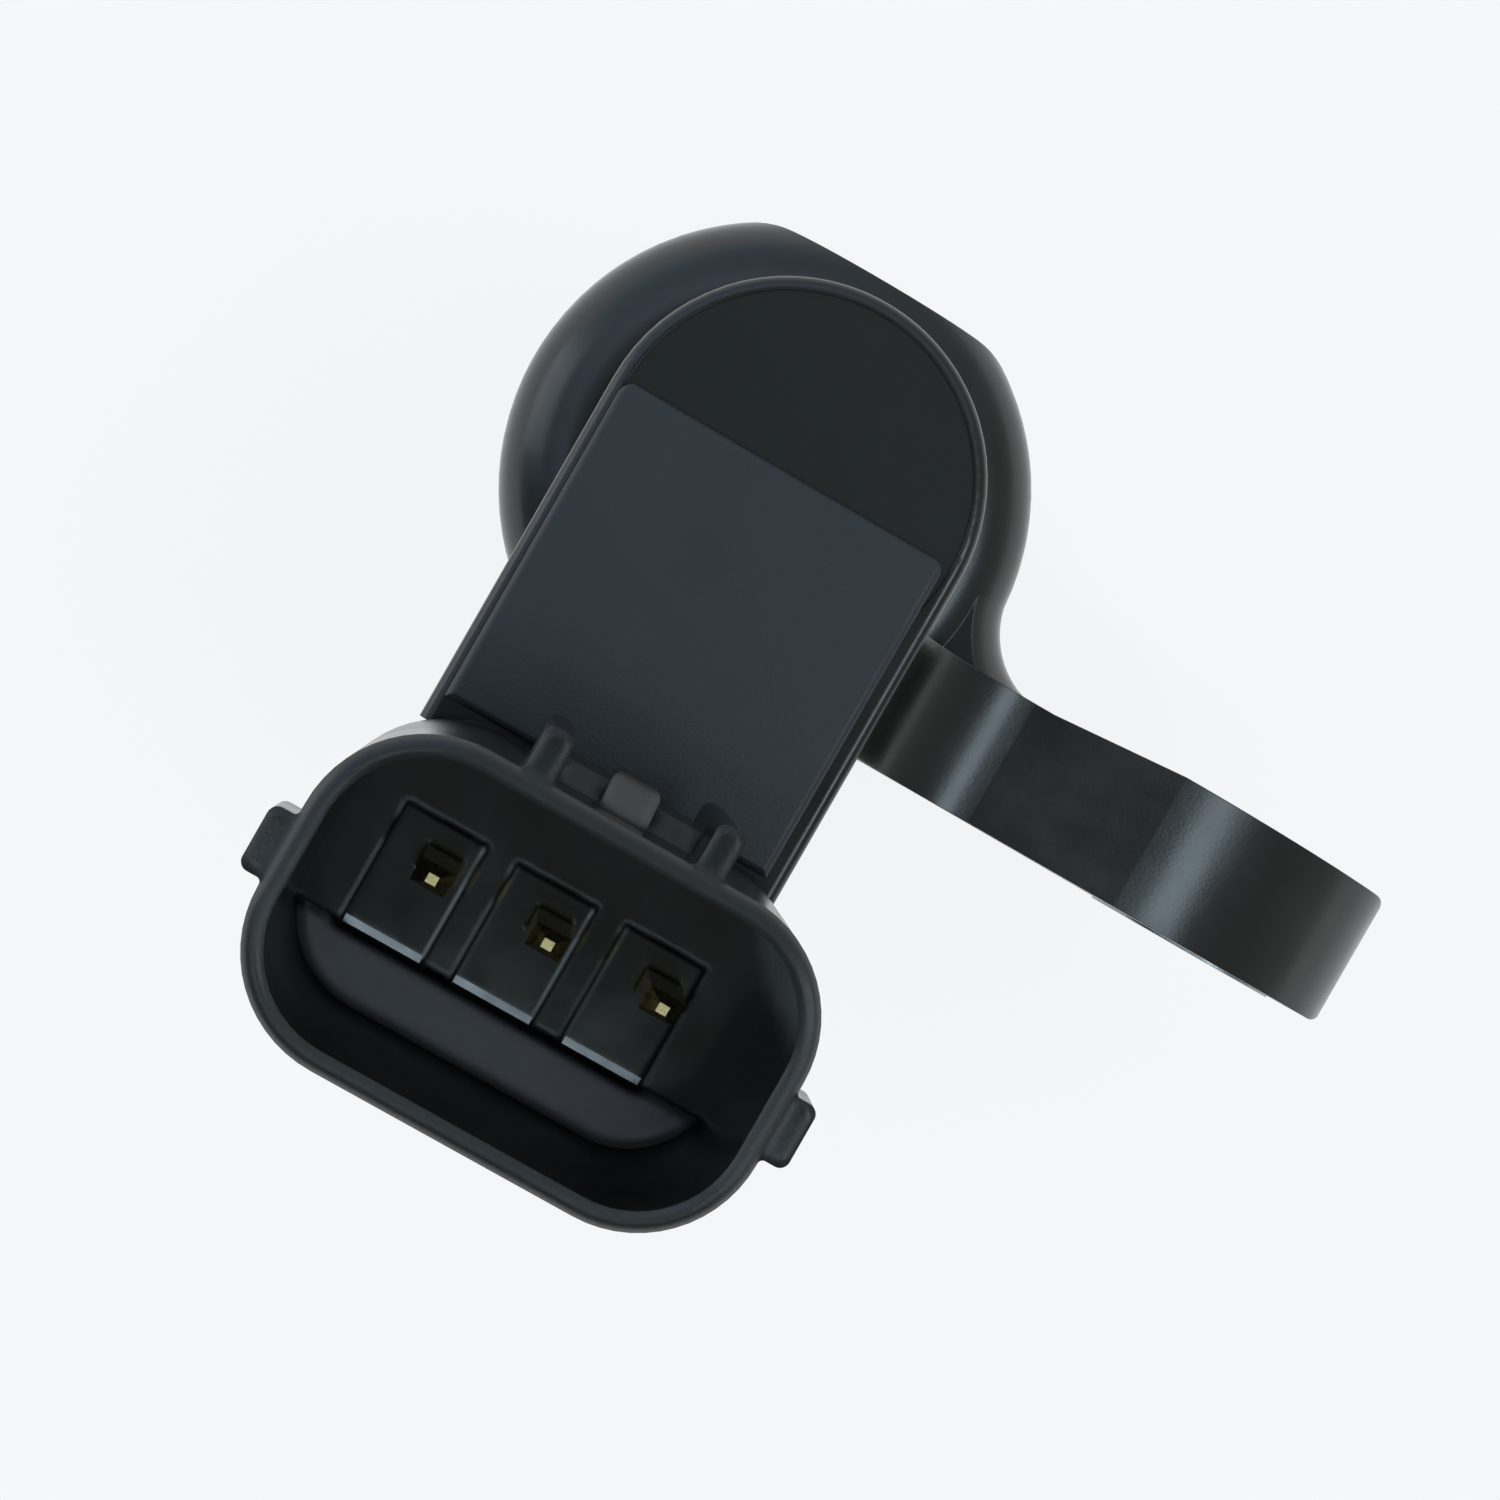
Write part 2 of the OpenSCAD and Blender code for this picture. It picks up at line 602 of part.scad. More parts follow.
module circuit_board() {
  color([0.08, 0.3, 0.16]) difference() {
    intersection() {
      translate([0, 0, deck_z]) cylinder(r = board_r, h = board_t);
      box([-board_w / 2, -board_back, deck_z - 1], [board_w / 2, board_front, deck_z + 3]);
    }
    for (i = [-1, 0, 1])
      box([i * leg_pitch - leg_t / 2 - fit_gap, leg_y - leg_t / 2 - fit_gap, deck_z - 1],
        [i * leg_pitch + leg_t / 2 + fit_gap, leg_y + leg_t / 2 + fit_gap, deck_z + 3]);
  }
}

// Chip capacitor lying on the board
module capacitor(x) {
  box([x - 1.0, 0.2, strip_z], [x + 1.0, 1.45, strip_z + 0.9]);
}

module capacitor_1() {
  color([0.6, 0.5, 0.38]) capacitor(-2.2);
}

module capacitor_2() {
  color([0.6, 0.5, 0.38]) capacitor(2.2);
}

module lead_solder() {
  color([0.7, 0.71, 0.72]) for (i = [-1, 0, 1]) difference() {
    translate([i * leg_pitch, leg_y, strip_z]) cylinder(r = 0.55, h = 0.5, $fn = 12);
    box([i * leg_pitch - leg_t / 2, leg_y - leg_t / 2, strip_z - 1],
      [i * leg_pitch + leg_t / 2, leg_y + leg_t / 2, strip_z + 2]);
  }
}

module terminal_solder() {
  color([0.7, 0.71, 0.72]) for (i = [-1, 0, 1])
    box([conn_x + i * strip_pitch - solder_w / 2, strip_end_y, strip_z],
      [conn_x + i * strip_pitch + solder_w / 2, strip_end_y + 0.7, strip_z + 0.6]);
}

housing();
cover_plate();
head_potting();
terminal_holder();
terminal_1();
terminal_2();
terminal_3();
ear_bush();
o_ring();
carrier();
hall_chip();
chip_lead_1();
chip_lead_2();
chip_lead_3();
pole_plate();
bias_magnet();
circuit_board();
capacitor_1();
capacitor_2();
lead_solder();
terminal_solder();
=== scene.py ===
"""Crankshaft position sensor: finishes for its pieces, studio stage and camera."""

import math

import bmesh
import bpy
from bpy.props import FloatProperty, FloatVectorProperty, PointerProperty
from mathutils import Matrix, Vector


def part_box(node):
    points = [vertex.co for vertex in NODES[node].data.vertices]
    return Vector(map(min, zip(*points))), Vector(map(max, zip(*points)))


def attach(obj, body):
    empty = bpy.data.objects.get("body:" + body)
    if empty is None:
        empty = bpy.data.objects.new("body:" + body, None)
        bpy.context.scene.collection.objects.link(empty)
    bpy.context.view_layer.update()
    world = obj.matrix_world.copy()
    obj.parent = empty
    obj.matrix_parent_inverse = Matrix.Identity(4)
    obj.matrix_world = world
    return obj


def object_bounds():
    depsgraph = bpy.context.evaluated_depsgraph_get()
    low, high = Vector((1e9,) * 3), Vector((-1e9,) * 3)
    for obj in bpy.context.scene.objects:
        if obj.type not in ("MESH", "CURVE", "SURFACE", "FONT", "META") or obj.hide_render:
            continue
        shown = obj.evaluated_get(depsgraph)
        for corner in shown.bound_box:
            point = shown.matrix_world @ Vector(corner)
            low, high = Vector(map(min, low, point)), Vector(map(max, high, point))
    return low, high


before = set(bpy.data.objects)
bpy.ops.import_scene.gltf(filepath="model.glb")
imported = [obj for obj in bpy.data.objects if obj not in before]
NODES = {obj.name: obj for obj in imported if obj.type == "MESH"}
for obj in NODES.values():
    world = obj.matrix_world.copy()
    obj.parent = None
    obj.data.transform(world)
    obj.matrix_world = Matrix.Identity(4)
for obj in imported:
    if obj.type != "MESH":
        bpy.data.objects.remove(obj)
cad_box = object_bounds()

bl_info = {
    "name": "Crankshaft Position Sensor",
    "version": (1, 0, 0),
    "blender": (4, 5, 0),
    "location": "View3D > Sidebar > Sensor",
    "description": "Finishes for the pieces of a crankshaft position sensor and a studio stage",
    "category": "Object",
}

MM = 0.001

# Connector: the height above which moulded edges are softer, and the height over which they
# grow. Near the rim they shrink again, between two depths below it, to a share of their size.
CONNECTOR_Z = 41.5 * MM
CONNECTOR_BLEND = 2 * MM
RIM_Z = cad_box[1].z
RIM_DEPTHS = (6 * MM, 2 * MM)
RIM_SHARE = 0.6
# Rounding of the terminal holder's edges there
INSERT_EDGE = 0.4 * MM

# Pads of the connector
PIN_PITCH = 5.0 * MM
PAD_WIDTH = 4.1 * MM
# Lips on the pads: front and back measured from the front edge, heights from the pad tops.
# The root is sunk into the pad, and the top slopes so that it mirrors the connector softbox.
LIP_FRONT = 0.15 * MM
LIP_BACK = 0.5 * MM
LIP_ROOT = -0.1 * MM
LIP_LOW = -0.0044 * MM
LIP_HIGH = 0.01 * MM
# Bed round the pads: how far it reaches past their box into the connector wall, how far its
# front stays behind theirs, the radius of its back corners, its drop below their tops, its
# thickness, and how far it is sunk into them
BED_LEFT = 2.15 * MM
BED_RIGHT = 3.15 * MM
BED_BACK = 3.2 * MM
BED_FRONT = 0.15 * MM
BED_CORNER = 4.3 * MM
BED_CORNER_STEPS = 8
BED_DROP = 0.05 * MM
BED_THICK = 0.5 * MM
BED_OVERLAP = 0.2 * MM

# Studio around the sensor: degrees off the vertical and the tone there. It is dim overhead,
# where the lens looks in, and brightest in a ring just outside that.
TENT = (
    (0, (0.30, 0.30, 0.25)),
    (13, (0.32, 0.32, 0.27)),
    (19, (0.82, 0.82, 0.86)),
    (29, (0.90, 0.90, 0.96)),
    (45, (0.66, 0.66, 0.68)),
    (65, (0.62, 0.62, 0.62)),
    (90, (0.86, 0.86, 0.86)),
)
# Its tint from left to right, and its strength from front to back. The reaches are the X and
# Y of the direction at which each change starts and ends.
LEFT_TINT = (0.78, 1.0, 1.2)
RIGHT_TINT = (0.56, 0.59, 0.575)
TINT_REACH = (-0.7, 0.7)
FRONT_REACH = (-0.55, 0.35)
FRONT_STRENGTH = (0.45, 1.2)
# Share of the floor's tone that is plain white to the lens and in reflections
FLOOR_GLOW = 0.84

# Softboxes: where each stands or how far it leans, and what it is aimed at
SIDE_PLACE = Vector((-0.6, -0.03, 0.16))
SIDE_TARGET = Vector((0, 0, 0.02))
SIDE_SIZE = (0.3, 0.5)
SIDE_COLOUR = (0.93, 1.0, 1.09)
EAR_TILT = math.radians(29)
EAR_TARGET = Vector((cad_box[1].x - 13 * MM, -5 * MM, 30 * MM))
MOUTH_TILT = math.radians(12.3)
MOUTH_TARGET = Vector((0, cad_box[0].y + 6 * MM, 45 * MM))
STRIP_COLOUR = (0.80, 1.0, 1.14)

# Camera: place in metres, turn in degrees, film width in millimetres
CAMERA_PLACE = Vector((-5.21, -9.14, 159.0)) * MM
CAMERA_TURN = (-2.867, -3.612, 29.918)
FILM_WIDTH = 36.0
NEAR_CLIP = 5 * MM


def linear(hex_colour):
    """Linear RGB of an sRGB colour such as #1b1d1e."""
    parts = [int(hex_colour[i:i + 2], 16) / 255 for i in (1, 3, 5)]
    return tuple(c / 12.92 if c <= 0.04045 else ((c + 0.055) / 1.055) ** 2.4 for c in parts)


def rgba(colour):
    """Four channels for a colour socket."""
    return (*colour, 1.0)


def shade(colour, factor):
    """The colour made lighter or darker."""
    return tuple(min(1.0, c * factor) for c in colour)


def add(tree, kind, inputs=None, **settings):
    """Adds a node. Inputs take a socket to link or a plain value; settings are the node's own."""
    made = tree.nodes.new(kind)
    for name, value in settings.items():
        setattr(made, name, value)
    for name, value in (inputs or {}).items():
        if isinstance(value, bpy.types.NodeSocket):
            tree.links.new(value, made.inputs[name])
        else:
            made.inputs[name].default_value = value
    return made


def start_material(name):
    """An empty node material and its tree."""
    material = bpy.data.materials.new(name)
    material.use_nodes = True
    material.node_tree.nodes.clear()
    return material, material.node_tree


def make_piece(name, mesh, material):
    """Turns a bmesh into an object of the scene, with one material."""
    sheet = bpy.data.meshes.new(name)
    mesh.to_mesh(sheet)
    mesh.free()
    sheet.materials.append(material)
    piece = bpy.data.objects.new(name, sheet)
    bpy.context.scene.collection.objects.link(piece)
    return piece


def dress(names, material):
    """Gives CAD nodes a material."""
    for name in names:
        mesh = NODES[name].data
        mesh.materials.clear()
        mesh.materials.append(material)


class SensorLook(bpy.types.PropertyGroup):
    """Colours and sizes of the sensor's finishes."""

    housing_colour: FloatVectorProperty(
        name="Housing", description="Black polyester of the housing",
        subtype="COLOR", min=0, max=1, default=linear("#0a0b0a"))
    # The cover plate's own dark colour, made lighter and bluer than the housing's as a painted
    # reflection of the cool light overhead
    plate_tone_and_painted_reflection: FloatVectorProperty(
        name="Cover plate", description="Polyester of the cover plate",
        subtype="COLOR", min=0, max=1, default=linear("#1b2024"))
    potting_colour: FloatVectorProperty(
        name="Sealing resin", description="Cast resin in the head",
        subtype="COLOR", min=0, max=1, default=linear("#12140f"))
    insert_colour: FloatVectorProperty(
        name="Terminal holder", description="Polyester of the terminal holder",
        subtype="COLOR", min=0, max=1, default=linear("#0a0b0a"))
    terminal_colour: FloatVectorProperty(
        name="Terminals", description="Plating on the blades",
        subtype="COLOR", min=0, max=1, default=linear("#cfba86"))
    # Real grain of this kind is finer. It is drawn as coarse as it needs to show.
    grain: FloatProperty(
        name="Moulded grain", description="Width of one grain of the moulded surface",
        unit="LENGTH", default=0.16 * MM, min=0.02 * MM)
    edge: FloatProperty(
        name="Edge rounding", description="Radius of the small roundings on moulded edges",
        unit="LENGTH", default=0.08 * MM, min=0.0)
    connector_edge: FloatProperty(
        name="Connector rounding", description="Radius of the roundings on the connector",
        unit="LENGTH", precision=6, default=1.0 * MM, min=0)
    lip_length: FloatProperty(
        name="Pad lip", description="Length of the lip along the front edge of each pad",
        unit="LENGTH", default=3.5 * MM, min=0.5 * MM)


class SensorStage(bpy.types.PropertyGroup):
    """Sizes and light of the stage."""

    lens: FloatProperty(
        name="Lens", description="Focal length of the camera in millimetres",
        default=68.61, min=20)
    floor_size: FloatProperty(
        name="Floor", description="Side of the square floor",
        unit="LENGTH", default=30, min=0.5)
    floor_colour: FloatVectorProperty(
        name="Floor colour", description="Pale floor",
        subtype="COLOR", min=0, max=1, default=linear("#f2f3f3"))
    strip_reach: FloatProperty(
        name="Strip distance", description="Distance of the strip softboxes over ear and connector",
        unit="LENGTH", default=0.6, min=0.2)
    strip_length: FloatProperty(
        name="Strip length", description="Long side of the strip softboxes",
        unit="LENGTH", default=0.36, min=0.05)
    ear_strip: FloatProperty(
        name="Ear strip width", description="Short side of the softbox over the ear",
        unit="LENGTH", default=0.14, min=0.02)
    mouth_strip: FloatProperty(
        name="Connector strip width", description="Short side of the softbox over the connector",
        unit="LENGTH", default=0.022, min=0.01)
    side_watts: FloatProperty(
        name="Side light", description="Power of the low softbox on the left in watts",
        default=0.5, min=0)
    ear_watts: FloatProperty(
        name="Ear light", description="Power of the softbox over the ear in watts",
        default=0.55, min=0)
    mouth_watts: FloatProperty(
        name="Connector light", description="Power of the softbox over the connector in watts",
        default=0.16, min=0)


def moulded_plastic(name, colour, roughness, grain, edge, grain_depth, connector_edge=None):
    """Moulded or pressed piece, mostly glass-filled polyester (PBT) from an eroded steel tool.

    The eye gets an even body colour, a soft satin sheen on turned edges, a fine grain and
    faint flow marks a few millimetres across.
    """
    flow_mark = 3.5 * MM
    material, tree = start_material(name)
    where = add(tree, "ShaderNodeTexCoord").outputs["Object"]
    flow = add(tree, "ShaderNodeTexNoise", {
        "Vector": where, "Scale": 1 / flow_mark, "Detail": 3.0, "Roughness": 0.55})
    specks = add(tree, "ShaderNodeTexNoise", {
        "Vector": where, "Scale": 1 / grain, "Detail": 2.0, "Roughness": 0.6})
    body = add(tree, "ShaderNodeMix", {
        0: flow.outputs["Fac"], 6: rgba(shade(colour, 0.82)), 7: rgba(shade(colour, 1.2))},
        data_type="RGBA")
    sheen = add(tree, "ShaderNodeMapRange", {
        "Value": flow.outputs["Fac"], "From Min": 0.3, "From Max": 0.7,
        "To Min": roughness - 0.04, "To Max": roughness + 0.05})
    height = add(tree, "ShaderNodeSeparateXYZ", {0: where})
    softer = add(tree, "ShaderNodeMapRange", {
        "Value": height.outputs["Z"],
        "From Min": CONNECTOR_Z, "From Max": CONNECTOR_Z + CONNECTOR_BLEND,
        "To Min": edge, "To Max": connector_edge or edge})
    sharper = add(tree, "ShaderNodeMapRange", {
        "Value": height.outputs["Z"],
        "From Min": RIM_Z - RIM_DEPTHS[0], "From Max": RIM_Z - RIM_DEPTHS[1],
        "To Min": 1.0, "To Max": RIM_SHARE})
    radius = add(tree, "ShaderNodeMath", {
        0: softer.outputs["Result"], 1: sharper.outputs["Result"]}, operation="MULTIPLY")
    rounded = add(tree, "ShaderNodeBevel", {"Radius": radius.outputs[0]}, samples=6)
    surface = add(tree, "ShaderNodeBump", {
        "Strength": 0.5, "Distance": grain_depth, "Height": specks.outputs["Fac"],
        "Normal": rounded.outputs["Normal"]})
    skin = add(tree, "ShaderNodeBsdfPrincipled", {
        "Base Color": body.outputs[2], "Roughness": sheen.outputs["Result"], "IOR": 1.57,
        "Normal": surface.outputs["Normal"]})
    add(tree, "ShaderNodeOutputMaterial", {"Surface": skin.outputs["BSDF"]})
    return material


def cast_resin(name, colour):
    """Two-part sealing resin (epoxy), poured and cured.

    The eye gets a dull, slightly olive black with a gentle waviness from pouring. The specks
    of dust are drawn as coarse as they need to show.
    """
    ripple = 5 * MM
    speck = 0.2 * MM
    material, tree = start_material(name)
    where = add(tree, "ShaderNodeTexCoord").outputs["Object"]
    cloud = add(tree, "ShaderNodeTexNoise", {"Vector": where, "Scale": 1 / ripple, "Detail": 2.0})
    dust = add(tree, "ShaderNodeTexNoise", {"Vector": where, "Scale": 1 / speck, "Detail": 2.0})
    body = add(tree, "ShaderNodeMix", {
        0: cloud.outputs["Fac"], 6: rgba(shade(colour, 0.85)), 7: rgba(shade(colour, 1.15))},
        data_type="RGBA")
    wave = add(tree, "ShaderNodeBump", {
        "Strength": 0.4, "Distance": 0.1 * MM, "Height": cloud.outputs["Fac"]})
    surface = add(tree, "ShaderNodeBump", {
        "Strength": 0.4, "Distance": 0.01 * MM, "Height": dust.outputs["Fac"],
        "Normal": wave.outputs["Normal"]})
    skin = add(tree, "ShaderNodeBsdfPrincipled", {
        "Base Color": body.outputs[2], "Roughness": 0.26, "IOR": 1.55,
        "Normal": surface.outputs["Normal"]})
    add(tree, "ShaderNodeOutputMaterial", {"Surface": skin.outputs["BSDF"]})
    return material


def worked_metal(name, colour, roughness, streak, axis, depth):
    """Rolled, drawn or turned metal, with streaks along one axis (0, 1, 2 for X, Y, Z).

    The eye gets a metal tone with fine marks that run along the way it was worked. They are
    drawn as coarse as they need to show, and a mark is as many times longer as stretch says.
    """
    stretch = 25
    edge = 0.05 * MM
    material, tree = start_material(name)
    where = add(tree, "ShaderNodeTexCoord").outputs["Object"]
    across = Vector((1, 1, 1)) / streak
    across[axis] /= stretch
    lines = add(tree, "ShaderNodeMapping", {"Vector": where, "Scale": across})
    streaks = add(tree, "ShaderNodeTexNoise", {
        "Vector": lines.outputs["Vector"], "Scale": 1.0, "Detail": 3.0})
    body = add(tree, "ShaderNodeMix", {
        0: streaks.outputs["Fac"], 6: rgba(shade(colour, 0.86)), 7: rgba(shade(colour, 1.08))},
        data_type="RGBA")
    sheen = add(tree, "ShaderNodeMapRange", {
        "Value": streaks.outputs["Fac"], "From Min": 0.3, "From Max": 0.7,
        "To Min": roughness - 0.06, "To Max": roughness + 0.08})
    rounded = add(tree, "ShaderNodeBevel", {"Radius": edge}, samples=4)
    surface = add(tree, "ShaderNodeBump", {
        "Strength": 0.4, "Distance": depth, "Height": streaks.outputs["Fac"],
        "Normal": rounded.outputs["Normal"]})
    skin = add(tree, "ShaderNodeBsdfPrincipled", {
        "Base Color": body.outputs[2], "Metallic": 1.0, "Roughness": sheen.outputs["Result"],
        "Normal": surface.outputs["Normal"]})
    add(tree, "ShaderNodeOutputMaterial", {"Surface": skin.outputs["BSDF"]})
    return material


def moulded_rubber(name, colour):
    """Nitrile rubber, compression moulded.

    The eye gets a dull black with a faint bloom in patches. The pores are drawn as coarse as
    they need to show.
    """
    patch = 2.5 * MM
    pore = 0.12 * MM
    material, tree = start_material(name)
    where = add(tree, "ShaderNodeTexCoord").outputs["Object"]
    bloom = add(tree, "ShaderNodeTexNoise", {"Vector": where, "Scale": 1 / patch, "Detail": 4.0})
    pores = add(tree, "ShaderNodeTexNoise", {"Vector": where, "Scale": 1 / pore, "Detail": 2.0})
    body = add(tree, "ShaderNodeMix", {
        0: bloom.outputs["Fac"], 6: rgba(shade(colour, 0.8)), 7: rgba(shade(colour, 1.5))},
        data_type="RGBA")
    surface = add(tree, "ShaderNodeBump", {
        "Strength": 0.3, "Distance": 0.01 * MM, "Height": pores.outputs["Fac"]})
    skin = add(tree, "ShaderNodeBsdfPrincipled", {
        "Base Color": body.outputs[2], "Roughness": 0.58, "IOR": 1.52,
        "Normal": surface.outputs["Normal"]})
    add(tree, "ShaderNodeOutputMaterial", {"Surface": skin.outputs["BSDF"]})
    return material


class SENSOR_OT_housing(bpy.types.Operator):
    """Finishes the housing, the cover plate and the terminal holder"""

    bl_idname = "sensor.housing"
    bl_label = "Housing"

    def execute(self, context):
        look = context.scene.sensor_look
        # Satin black, with soft edges round the connector
        dress(["housing"], moulded_plastic(
            "moulded_pbt_housing", look.housing_colour, roughness=0.22, grain=look.grain,
            edge=look.edge, grain_depth=0.008 * MM, connector_edge=look.connector_edge))
        # Duller, and lighter and bluer than the housing: its dark polyester colour with a painted
        # reflection of the cool light overhead
        dress(["cover_plate"], moulded_plastic(
            "moulded_pbt_plate_painted_reflection", look.plate_tone_and_painted_reflection, roughness=0.48, grain=look.grain,
            edge=look.edge, grain_depth=0.02 * MM))
        # Glossy black, so that the pads mirror the dim studio overhead
        dress(["terminal_holder"], moulded_plastic(
            "moulded_pbt_insert", look.insert_colour, roughness=0.11, grain=look.grain,
            edge=look.edge, grain_depth=0.002 * MM, connector_edge=INSERT_EDGE))
        return {"FINISHED"}


class SENSOR_OT_pad_lips(bpy.types.Operator):
    """Adds the fine lip along the front edge of each connector pad, which catches the light"""

    bl_idname = "sensor.pad_lips"
    bl_label = "Pad lips"

    def execute(self, context):
        look = context.scene.sensor_look
        low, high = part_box("terminal_holder")
        middle = (low.x + high.x) / 2
        section = ((LIP_FRONT, LIP_ROOT), (LIP_FRONT, LIP_LOW),
                   (LIP_BACK, LIP_HIGH), (LIP_BACK, LIP_ROOT))
        mesh = bmesh.new()
        for pad in (-1, 0, 1):
            centre = middle + pad * PIN_PITCH
            ends = [[mesh.verts.new((x, low.y + back, high.z + up)) for back, up in section]
                    for x in (centre - look.lip_length / 2, centre + look.lip_length / 2)]
            mesh.faces.new(ends[0])
            mesh.faces.new(reversed(ends[1]))
            for i in range(len(section)):
                j = (i + 1) % len(section)
                mesh.faces.new((ends[0][j], ends[0][i], ends[1][i], ends[1][j]))
        bmesh.ops.recalc_face_normals(mesh, faces=mesh.faces)
        # As glossy as the pads, with edges that stay sharp on so narrow a bar
        lips = make_piece("pad_lips", mesh, moulded_plastic(
            "moulded_pbt_lip", look.insert_colour, roughness=0.11, grain=look.grain,
            edge=look.edge / 4, grain_depth=0.002 * MM))
        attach(lips, "root")
        return {"FINISHED"}


class SENSOR_OT_pad_bed(bpy.types.Operator):
    """Fills the connector floor between, beside and behind the pads"""

    bl_idname = "sensor.pad_bed"
    bl_label = "Pad bed"

    def execute(self, context):
        low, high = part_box("terminal_holder")
        middle = (low.x + high.x) / 2
        left, right = low.x - BED_LEFT, high.x + BED_RIGHT
        front, back = low.y + BED_FRONT, high.y + BED_BACK
        top = high.z - BED_DROP
        # Front edge with a notch for each pad, then the two rounded back corners
        notch = high.y - BED_OVERLAP
        half = PAD_WIDTH / 2 - BED_OVERLAP
        outline = [(left, front)]
        for pad in (-1, 0, 1):
            centre = middle + pad * PIN_PITCH
            outline += [(centre - half, front), (centre - half, notch),
                        (centre + half, notch), (centre + half, front)]
        outline.append((right, front))
        for corner, start in ((right - BED_CORNER, 0), (left + BED_CORNER, 90)):
            for step in range(BED_CORNER_STEPS + 1):
                turn = math.radians(start + step * 90 / BED_CORNER_STEPS)
                outline.append((corner + BED_CORNER * math.cos(turn),
                                back - BED_CORNER + BED_CORNER * math.sin(turn)))
        mesh = bmesh.new()
        face = mesh.faces.new([mesh.verts.new((x, y, top)) for x, y in outline])
        made = bmesh.ops.extrude_face_region(mesh, geom=[face])["geom"]
        under = [part for part in made if isinstance(part, bmesh.types.BMVert)]
        bmesh.ops.translate(mesh, verts=under, vec=(0, 0, -BED_THICK))
        bmesh.ops.recalc_face_normals(mesh, faces=mesh.faces)
        bed = make_piece("pad_bed", mesh, NODES["terminal_holder"].data.materials[0])
        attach(bed, "root")
        return {"FINISHED"}


class SENSOR_OT_potting(bpy.types.Operator):
    """Finishes the sealing resin in the head"""

    bl_idname = "sensor.potting"
    bl_label = "Sealing resin"

    def execute(self, context):
        look = context.scene.sensor_look
        dress(["head_potting"], cast_resin("cast_epoxy", look.potting_colour))
        return {"FINISHED"}


class SENSOR_OT_terminals(bpy.types.Operator):
    """Finishes the three blades"""

    bl_idname = "sensor.terminals"
    bl_label = "Terminals"

    def execute(self, context):
        look = context.scene.sensor_look
        # Pale gold, with marks along the blade
        dress(["terminal_1", "terminal_2", "terminal_3"], worked_metal(
            "plated_brass_strip", look.terminal_colour, roughness=0.3,
            streak=0.15 * MM, axis=2, depth=0.01 * MM))
        return {"FINISHED"}


class SENSOR_OT_fixings(bpy.types.Operator):
    """Finishes the bush in the ear and the seal on the barrel"""

    bl_idname = "sensor.fixings"
    bl_label = "Bush and seal"

    def execute(self, context):
        # Light grey, with drawing marks along the bore
        dress(["ear_bush"], worked_metal(
            "zinc_plated_steel_bush", linear("#b7b9ba"), roughness=0.34,
            streak=0.2 * MM, axis=1, depth=0.012 * MM))
        dress(["o_ring"], moulded_rubber("nitrile_rubber", linear("#141414")))
        return {"FINISHED"}


class SENSOR_OT_inside(bpy.types.Operator):
    """Finishes the pieces sealed inside the barrel and the head"""

    bl_idname = "sensor.inside"
    bl_label = "Inside"

    def execute(self, context):
        look = context.scene.sensor_look
        # Grey polyester, matt
        dress(["carrier"], moulded_plastic(
            "moulded_pbt_carrier", linear("#4a4d50"), roughness=0.5, grain=look.grain,
            edge=look.edge, grain_depth=0.02 * MM))
        # Transfer-moulded epoxy: charcoal, matt, with a grain half as wide
        dress(["hall_chip"], moulded_plastic(
            "moulded_epoxy_chip", linear("#202122"), roughness=0.5, grain=look.grain / 2,
            edge=look.edge / 2, grain_depth=0.01 * MM))
        # Bright tin over drawn copper, with marks along the leg
        dress(["chip_lead_1", "chip_lead_2", "chip_lead_3"], worked_metal(
            "tinned_copper_lead", linear("#cfcdc6"), roughness=0.3,
            streak=0.1 * MM, axis=2, depth=0.006 * MM))
        # Rolled steel: mid grey, with marks across the plate
        dress(["pole_plate"], worked_metal(
            "bare_steel_plate", linear("#9a9b9d"), roughness=0.38,
            streak=0.15 * MM, axis=0, depth=0.01 * MM))
        # Nickel plate: warm grey and smoother, with wide faint marks
        dress(["bias_magnet"], worked_metal(
            "nickel_plated_magnet", linear("#a9a7a2"), roughness=0.25,
            streak=0.4 * MM, axis=0, depth=0.008 * MM))
        # Pressed glass cloth in epoxy: green and smooth, with a mottle about as wide as its threads
        dress(["circuit_board"], moulded_plastic(
            "glass_epoxy_board", linear("#1d5a36"), roughness=0.35, grain=look.grain * 2,
            edge=look.edge / 2, grain_depth=0.01 * MM))
        # Pressed and fired ceramic: tan and dull
        dress(["capacitor_1", "capacitor_2"], moulded_plastic(
            "fired_ceramic_block", linear("#a98c68"), roughness=0.45, grain=look.grain,
            edge=look.edge / 2, grain_depth=0.01 * MM))
        # Solder that flowed and set: bright, with wide soft marks
        dress(["lead_solder", "terminal_solder"], worked_metal(
            "tin_solder", linear("#c9cacc"), roughness=0.2,
            streak=0.5 * MM, axis=2, depth=0.01 * MM))
        return {"FINISHED"}


def painted_board(name, colour):
    """Matt painted board for the floor.

    The eye gets an even near white that keeps the sensor's soft shadow. To the lens and in
    reflections most of its tone is plain white.
    """
    material, tree = start_material(name)
    ray = add(tree, "ShaderNodeLightPath")
    seen = add(tree, "ShaderNodeMath", {
        0: ray.outputs["Is Camera Ray"], 1: ray.outputs["Is Glossy Ray"]}, operation="MAXIMUM")
    seen = add(tree, "ShaderNodeMath", {
        0: seen.outputs[0], 1: ray.outputs["Is Transmission Ray"]}, operation="MAXIMUM")
    share = add(tree, "ShaderNodeMath", {0: seen.outputs[0], 1: FLOOR_GLOW}, operation="MULTIPLY")
    matt = add(tree, "ShaderNodeBsdfDiffuse", {"Color": rgba(colour)})
    glow = add(tree, "ShaderNodeEmission", {"Color": (1, 1, 1, 1), "Strength": 1.0})
    both = add(tree, "ShaderNodeMixShader", {
        0: share.outputs[0], 1: matt.outputs[0], 2: glow.outputs[0]})
    add(tree, "ShaderNodeOutputMaterial", {"Surface": both.outputs[0]})
    return material


